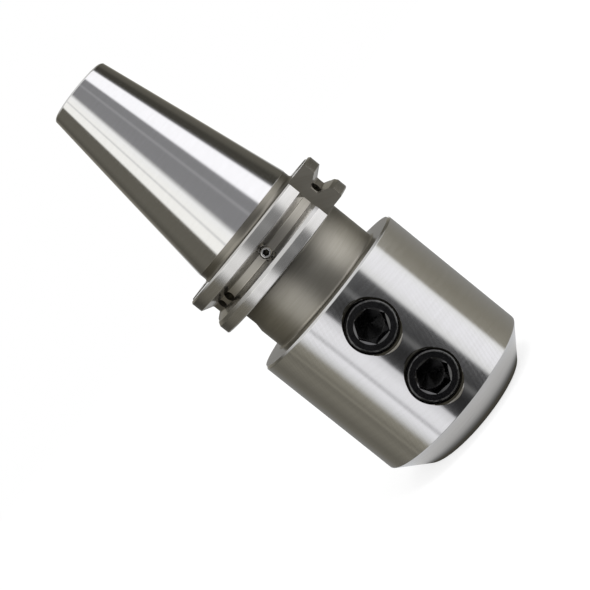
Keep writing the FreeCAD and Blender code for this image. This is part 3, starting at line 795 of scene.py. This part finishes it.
# %% Rules for the finishes
FINISHES = [GROUND_HEAD, MILLED_STEEL, THREAD_STEEL, TURNED_NECK, TURNED_RIM, GROUND_TAPER,
            BORE_STEEL, GROOVE_STEEL, CUT_FACE, SHADED_SINK_STEEL]
HEAD, NECK, RIM, TAPER, BORE, GROOVE, FACE = 0, 3, 4, 5, 6, 7, 8   # places in that list
NEAR = 0.01     # mm; heights this close count as equal
FLAT = 0.9      # a normal that rises more than this belongs to a flat end face
BORE_TOP = 62   # above the tool bore, below the drawbar hole
TOOL_MARGIN, PILOT_MARGIN, COLLAR_MARGIN = 0.9, 0.5, 1.5
NECK_MARGIN, FLOOR_MARGIN, EDGE_MARGIN = 1.1, 0.3, 0.1


def finish_at(radius, height, normal_z):
    """The finish of a turned face, by its place in millimetres and how far it looks up."""
    if radius < TOOL_R + TOOL_MARGIN and height < BORE_TOP or radius < PILOT_R + PILOT_MARGIN:
        return BORE
    if height > GAUGE_Z - NEAR:
        return TAPER
    if radius < COLLAR_R + COLLAR_MARGIN and height > FLANGE_HIGH:
        return TAPPED
    if height > FLANGE_LOW - NEAR and radius > NECK_R + NECK_MARGIN:
        if abs(normal_z) > FLAT:
            # Flat faces that look down get the darker thread steel: painted shade under the
            # flange.
            return RIM if normal_z > 0 else TAPPED
        return GROOVE if radius < GROOVE_R + FLOOR_MARGIN else RIM
    if height > SHOULDER_Z + NEAR:
        return NECK
    if normal_z > FLAT:
        return FACE
    return RIM if height < NOSE_CHAMFER - EDGE_MARGIN else HEAD


def sink_light_and_shade(x, z):
    """The lower half of a countersink's broken edge gets the paler thread steel, a painted
    highlight; the upper half and the cone inside get painted shade.
    """
    height = min((height for height, turn in CLAMP_WAYS.values()), key=lambda h: abs(z - h))
    return TAPPED if math.hypot(x, z - height) > SINK_R and z < height else SUNK


# %% Assign the finishes
for number, material in enumerate(FINISHES):
    holder.data.materials[number] = material
for face in holder.data.polygons:
    x, y, z = face.center / MM
    if face.material_index == SUNK:
        face.material_index = sink_light_and_shade(x, z)
    elif face.material_index not in (MILLED, TAPPED):
        face.material_index = finish_at(math.hypot(x, y), z, face.normal.z)

for screws, finishes in ((clamp_screws, [BLACK]), (plugs, [TURNED_RIM, SHADED_SINK_STEEL])):
    for piece in screws.values():
        numbers = [min(face.material_index, len(finishes) - 1) for face in piece.data.polygons]
        piece.data.materials.clear()
        for material in finishes:
            piece.data.materials.append(material)
        piece.data.polygons.foreach_set("material_index", numbers)
for piece in pieces:
    print(piece.name, "wears", len(piece.data.materials), "finishes")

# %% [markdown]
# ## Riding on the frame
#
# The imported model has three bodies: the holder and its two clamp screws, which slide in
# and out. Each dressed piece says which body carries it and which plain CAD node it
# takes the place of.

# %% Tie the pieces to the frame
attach(holder, "holder")
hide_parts("holder_body")
for name, screw in clamp_screws.items():
    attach(screw, name + "_screw")
    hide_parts(name + "_clamp_screw")
for name, plug in plugs.items():
    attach(plug, "holder")
    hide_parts(name + "_plug_screw")
print("tied:", len(pieces), "pieces")

# %% [markdown]
# ## The floor
#
# The holder stands on its nose on a pale floor that reaches past every view. A camera
# sees mostly plain white there, and the rest is lit like any matt surface, so that
# the holder's soft shadow stays. The chamfer at the nose looks straight down, so it
# mirrors the floor just beside the contact. For reflections only, a contact shadow is
# painted on the floor there, darker ring by ring towards the nose, and past a few
# centimetres they see the world's floor instead. A dark patch painted on the floor on
# the camera's side, also seen only in reflections, is painted shade that keeps the
# lower halves of the screws' bevels black.

# %% Node helpers for light
def ramp(tree, stops, socket, place):
    """A colour ramp; place turns a stop's own measure into a position from 0 to 1."""
    node = add(tree, "ShaderNodeValToRGB")
    marks = node.color_ramp.elements
    marks[0].position, marks[1].position = place(stops[0][0]), place(stops[-1][0])
    marks[0].color, marks[1].color = (*stops[0][1], 1), (*stops[-1][1], 1)
    for spot, color in stops[1:-1]:
        marks.new(place(spot)).color = (*color, 1)
    tree.links.new(socket, node.inputs["Fac"])
    return node.outputs["Color"]


def grey(value):
    return (value, value, value)


def warm(value):
    """The brown of a workshop behind the screens."""
    return (value, value * 0.94, value * 0.78)


def cool(value):
    return (value, value * 0.995, value * 1.03)


# %% Floor mesh
FLOOR_R, FLOOR_Z = 6.0, -0.05        # metres across, and mm below the nose
floor_bm = bmesh.new()
bmesh.ops.create_circle(floor_bm, cap_ends=True, segments=96, radius=FLOOR_R / MM)
floor = new_object(floor_bm, "floor")
place(floor, Matrix.Translation((0, 0, FLOOR_Z)))
print("floor:", round(floor.dimensions.x, 1), "m wide")

# %% What a camera sees of the floor
WHITENESS = 0.6                      # how much of the plain white lies over the matt floor
floor_paint = bpy.data.materials.new("pale floor")
floor_paint.use_nodes = True
tree = floor_paint.node_tree
tree.nodes.clear()
out = add(tree, "ShaderNodeOutputMaterial")
matt = add(tree, "ShaderNodeBsdfDiffuse")
matt.inputs["Color"].default_value = (0.9, 0.9, 0.9, 1)
glow = add(tree, "ShaderNodeEmission")
glow.inputs["Strength"].default_value = 1.25
path = add(tree, "ShaderNodeLightPath")
seen = add(tree, "ShaderNodeMixShader")
tree.links.new(math_node(tree, "MULTIPLY", path.outputs["Is Camera Ray"], WHITENESS),
               seen.inputs[0])
tree.links.new(matt.outputs[0], seen.inputs[1])
tree.links.new(glow.outputs[0], seen.inputs[2])
floor.data.materials.append(floor_paint)
print("floor paint:", floor_paint.name)

# %% What steel mirrors of the floor
FLOOR_SHEEN = (0.70, 0.71, 0.73)     # the floor as steel mirrors it
MIRRORED_R = 60.0                    # mm round the axis where reflections see this floor
# Painted contact shadow, seen only in reflections: the floor darkens ring by ring towards the
# nose.
CONTACT_SHADOW = [(0, warm(0.06)), (23, warm(0.07)), (23.7, warm(0.085)), (24.2, grey(0.14)),
           (24.8, grey(0.25)), (25.2, grey(0.36)), (25.8, grey(0.48)), (26.4, grey(0.555)),
           (27.1, grey(0.6)), (28.5, grey(0.66)), (31, FLOOR_SHEEN), (MIRRORED_R, FLOOR_SHEEN)]
# A dark patch painted on the floor in front, seen only in reflections: painted shade on the lower
# halves of the screws' bevels.
SHADE_PATCH_FROM, SHADE_PATCH_TO, SHADE_PATCH = 36.0, 41.0, warm(0.1)   # mm in front of the axis, and its colour
where = add(tree, "ShaderNodeTexCoord")
span = add(tree, "ShaderNodeVectorMath", operation="LENGTH")
tree.links.new(where.outputs["Object"], span.inputs[0])
reach = math_node(tree, "DIVIDE", span.outputs["Value"], MIRRORED_R * MM)
ahead, shade_patch_edge = add(tree, "ShaderNodeSeparateXYZ"), add(tree, "ShaderNodeMapRange")
tree.links.new(where.outputs["Object"], ahead.inputs[0])
tree.links.new(ahead.outputs["Y"], shade_patch_edge.inputs["Value"])
fill(shade_patch_edge, From_Min=-SHADE_PATCH_FROM * MM, From_Max=-SHADE_PATCH_TO * MM)
rings = ramp(tree, CONTACT_SHADOW, reach, lambda r: r / MIRRORED_R)
mirrored = add(tree, "ShaderNodeEmission")
tree.links.new(mix_node(tree, "RGBA", shade_patch_edge.outputs["Result"], rings, (*SHADE_PATCH, 1)),
               mirrored.inputs["Color"])
clear, near = add(tree, "ShaderNodeBsdfTransparent"), add(tree, "ShaderNodeMixShader")
tree.links.new(math_node(tree, "GREATER_THAN", reach, 1.0), near.inputs[0])
tree.links.new(mirrored.outputs[0], near.inputs[1])
tree.links.new(clear.outputs[0], near.inputs[2])
blend = add(tree, "ShaderNodeMixShader")
tree.links.new(path.outputs["Is Glossy Ray"], blend.inputs[0])
tree.links.new(seen.outputs[0], blend.inputs[1])
tree.links.new(near.outputs[0], blend.inputs[2])
tree.links.new(blend.outputs[0], out.inputs["Surface"])
print("mirrored floor:", len(CONTACT_SHADOW), "rings out to", MIRRORED_R, "mm")

# %% [markdown]
# ## The studio round the holder
#
# Polished steel shows the room. In a product studio that room is a dark camera side
# between tall white screens, and it shows on a cylinder as bright and dark bands
# along its axis. The world draws those screens by direction: the compass angle round
# the holder picks the brightness from a ramp, one ramp for each of four heights, and
# further down and up come a bright floor and ceiling. The camera itself sees plain
# white, and matt surfaces get even light.

# %% The screens: compass angle from the camera's side, and the brightness there
LOW_SCREENS = [
    (-180, grey(0.3)), (-137, warm(0.178)), (-125, warm(0.165)), (-104, warm(0.245)),
    (-92, warm(0.2)), (-88.5, warm(0.32)), (-85, warm(0.22)),
    (-79, warm(0.31)), (-72, warm(0.33)), (-64.5, grey(0.85)), (-58, cool(1.08)),
    (-52, cool(1.19)), (-50, cool(0.7)), (-47, cool(0.7)), (-45, cool(1.1)),
    (-34, cool(1.14)), (-27, cool(1.0)), (-22, cool(0.95)), (-19.5, cool(0.08)), (-9, cool(0.035)),
    (2, cool(0.03)), (9, cool(0.06)), (14.5, grey(0.21)), (20, cool(0.06)),
    (40.5, cool(0.1)), (45.5, grey(1.04)), (57, cool(1.18)), (72, cool(1.2)), (81, grey(1.15)),
    (85.5, warm(0.34)), (108, warm(0.29)), (180, grey(0.3)),
]
LEVEL_SCREENS = [
    (-180, grey(1.3)), (-165, grey(0.8)), (-150, warm(0.07)), (-132, warm(0.07)),
    (-118, warm(0.14)), (-105, warm(0.18)), (-80, warm(0.21)), (-72, grey(0.3)),
    (-64, grey(0.75)), (-58, grey(1.06)), (-34, grey(1.16)), (-26, grey(1.02)),
    (-18, grey(0.55)), (-12, grey(0.36)), (5, grey(0.37)), (14, grey(0.44)), (21, grey(0.37)),
    (35, grey(0.38)), (42.5, grey(0.85)), (48, grey(1.25)), (71.5, grey(1.35)),
    (106, grey(1.2)), (118, warm(0.16)), (135, warm(0.12)), (150, warm(0.12)),
    (165, grey(0.8)), (180, grey(1.3)),
]
CREAM = (1.36, 1.35, 1.31)
RAISED_SCREENS = [
    (-180, grey(0.3)), (-160, warm(0.28)), (-148, warm(0.2)), (-136, warm(0.11)),
    (-112, warm(0.165)), (-76, warm(0.16)), (-71.5, CREAM), (-51.5, CREAM),
    (-49.5, grey(0.9)), (-47.5, grey(0.9)), (-45.5, CREAM), (-28, grey(1.3)),
    (-22, grey(0.7)), (-18, cool(0.33)), (14, cool(0.325)), (19, cool(0.46)), (23, cool(0.32)),
    (42, cool(0.32)), (47, cool(1.5)), (85, cool(1.5)), (90, grey(0.22)), (96, warm(0.07)),
    (112, warm(0.067)), (126, warm(0.13)), (148, warm(0.15)), (160, warm(0.28)), (180, grey(0.3)),
]
SUNKEN_SCREENS = [
    (-180, grey(0.5)), (-110, warm(0.2)), (-75, warm(0.18)), (-55, grey(0.2)), (-28, grey(0.2)),
    (-12, grey(0.04)), (18, grey(0.04)), (40, grey(1.3)), (70, grey(1.7)), (108, grey(1.7)),
    (120, warm(0.25)), (180, grey(0.5)),
]
print("screens:", [len(s) for s in (SUNKEN_SCREENS, LOW_SCREENS, LEVEL_SCREENS, RAISED_SCREENS)])


# %% The compass angle of a direction
def compass_place(degrees):
    return degrees / 360 + 0.5


world = bpy.data.worlds.new("studio")
scene.world = world
world.use_nodes = True
tree = world.node_tree
tree.nodes.clear()
out, surround = add(tree, "ShaderNodeOutputWorld"), add(tree, "ShaderNodeBackground")
tree.links.new(surround.outputs[0], out.inputs["Surface"])
where = add(tree, "ShaderNodeTexCoord")
parts = add(tree, "ShaderNodeSeparateXYZ")
tree.links.new(where.outputs["Generated"], parts.inputs[0])
x, y, z = parts.outputs
compass = math_node(tree, "ARCTAN2", x, math_node(tree, "MULTIPLY", y, -1.0))
turn = math_node(tree, "ADD", math_node(tree, "DIVIDE", compass, math.tau), 0.5)
print("the camera's side lies at", compass_place(0), "of the turn")


# %% Blend the screens by height
CEILING = (0.9, 0.9, 0.9, 1)
# Each set of screens, and between which sines of the height it takes over.
LAYERS = ((LOW_SCREENS, -0.35, -0.25), (LEVEL_SCREENS, -0.095, -0.055),
          (RAISED_SCREENS, 0.035, 0.1))


def blend_by_height(low_color, high_color, low_z, high_z):
    """One colour below low_z, the other above high_z; z is the sine of the height."""
    rise = add(tree, "ShaderNodeMapRange", interpolation_type="SMOOTHSTEP")
    fill(rise, From_Min=low_z, From_Max=high_z)
    tree.links.new(z, rise.inputs["Value"])
    return mix_node(tree, "RGBA", rise.outputs["Result"], low_color, high_color)


screens = ramp(tree, SUNKEN_SCREENS, turn, compass_place)
for stops, low_z, high_z in LAYERS:
    screens = blend_by_height(screens, ramp(tree, stops, turn, compass_place), low_z, high_z)
screens = blend_by_height((*FLOOR_SHEEN, 1), screens, -0.9, -0.7)
screens = blend_by_height(screens, CEILING, 0.5, 0.85)
print("layers of screens:", 1 + len(LAYERS))

# %% What each kind of ray sees of the studio
EVEN_LIGHT, WHITE = (0.8, 0.8, 0.8, 1), (1, 1, 1, 1)   # for matt surfaces, and the camera
path = add(tree, "ShaderNodeLightPath")
lit = mix_node(tree, "RGBA", path.outputs["Is Glossy Ray"], EVEN_LIGHT, screens)
tree.links.new(mix_node(tree, "RGBA", path.outputs["Is Camera Ray"], lit, WHITE),
               surround.inputs["Color"])
surround.inputs["Strength"].default_value = 1.0
print("world:", world.name, len(tree.nodes), "nodes")

# %% [markdown]
# ## A soft lamp
#
# One broad and weak lamp, above and in front, gives the floor a soft shadow. Polished
# steel would show it as a spot, so reflections and the camera don't see it.

# %% Lamp
LAMP_PLACE, LAMP_AIM = Vector((0.35, -0.4, 0.9)), Vector((0, 0, 0.05))
lamp = bpy.data.lights.new("soft lamp", "AREA")
lamp.size = 0.5
lamp.energy = 3.0
lamp_object = bpy.data.objects.new("soft lamp", lamp)
scene.collection.objects.link(lamp_object)
lamp_object.location = LAMP_PLACE
lamp_object.rotation_euler = (LAMP_AIM - LAMP_PLACE).to_track_quat("-Z", "Y").to_euler()
lamp_object.visible_glossy = False
lamp_object.visible_camera = False
print("lamp:", lamp.energy, "W")

# %% [markdown]
# ## The camera
#
# The photograph was taken almost level with the holder, from a little under half a
# metre, with the picture turned so that the taper points to the upper left. Standing
# the holder upright and rolling the camera gives the same picture.

# %% Camera
AIM = Vector((-0.00753, 0, 0.07127))
DISTANCE = 0.45098
RISE, SIDE, ROLL = math.radians(4.686), math.radians(0.267), math.radians(51.25)
away = Vector((math.sin(SIDE) * math.cos(RISE), -math.cos(SIDE) * math.cos(RISE),
               math.sin(RISE)))
right = Vector((0, 0, 1)).cross(away).normalized()
up = away.cross(right)
picture_right = right * math.cos(ROLL) - up * math.sin(ROLL)
picture_up = right * math.sin(ROLL) + up * math.cos(ROLL)
camera = bpy.data.cameras.new("camera")
camera.lens, camera.sensor_width = 82.57, 36.0
camera.clip_start, camera.clip_end = 0.01, 30.0
camera_object = bpy.data.objects.new("camera", camera)
scene.collection.objects.link(camera_object)
turned_axes = Matrix((picture_right, picture_up, away)).transposed().to_4x4()
camera_object.matrix_world = Matrix.Translation(AIM + away * DISTANCE) @ turned_axes
scene.camera = camera_object
scene.view_settings.view_transform = "Standard"
print("camera:", [round(v, 3) for v in camera_object.location], camera.lens, "mm")

# %% Update the scene
bpy.context.view_layer.update()
